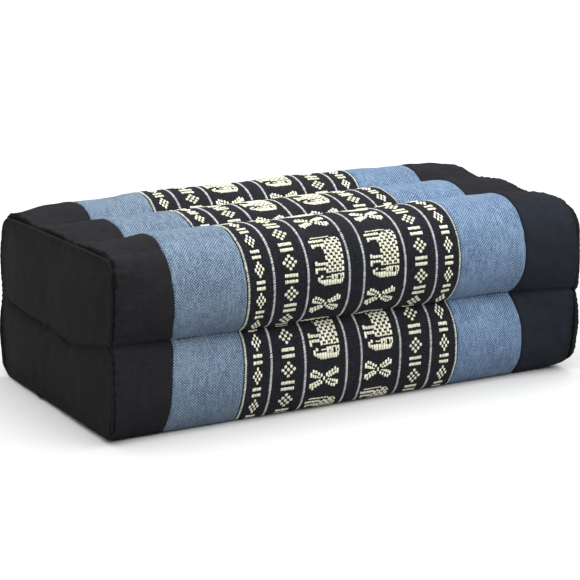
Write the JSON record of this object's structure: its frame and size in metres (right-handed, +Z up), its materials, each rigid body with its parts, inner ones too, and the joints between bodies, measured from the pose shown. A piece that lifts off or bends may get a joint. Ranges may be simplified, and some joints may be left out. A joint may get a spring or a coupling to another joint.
{
  "type": "rectangular block cushion",
  "caption": "Rectangular stuffed block cushion with sewn lengthwise channels, black ends, blue bands and a brocade band round the middle, for sitting or yoga.",
  "frame": {"origin": "centre of the underside, on the floor", "axes": "+X along the length, +Y across the depth toward the back, +Z up from the underside to the crests"},
  "size_m": [0.3528, 0.1844, 0.1225],
  "materials": {
    "cushion_body": "plain woven black cotton, matt",
    "brocade_panel": "black cotton with raised cream supplementary weft",
    "blue_panel_left": "blue chambray cotton, matt",
    "blue_panel_right": "blue chambray cotton, matt",
    "end_panel_left": "plain woven black cotton, matt",
    "end_panel_right": "plain woven black cotton, matt"
  },
  "bodies": {
    "root": {"cushion_body": "cushion_body", "brocade_panel": "brocade_panel", "blue_panel_left": "blue_panel_left", "blue_panel_right": "blue_panel_right", "end_panel_left": "end_panel_left", "end_panel_right": "end_panel_right"}
  },
  "joints": []
}
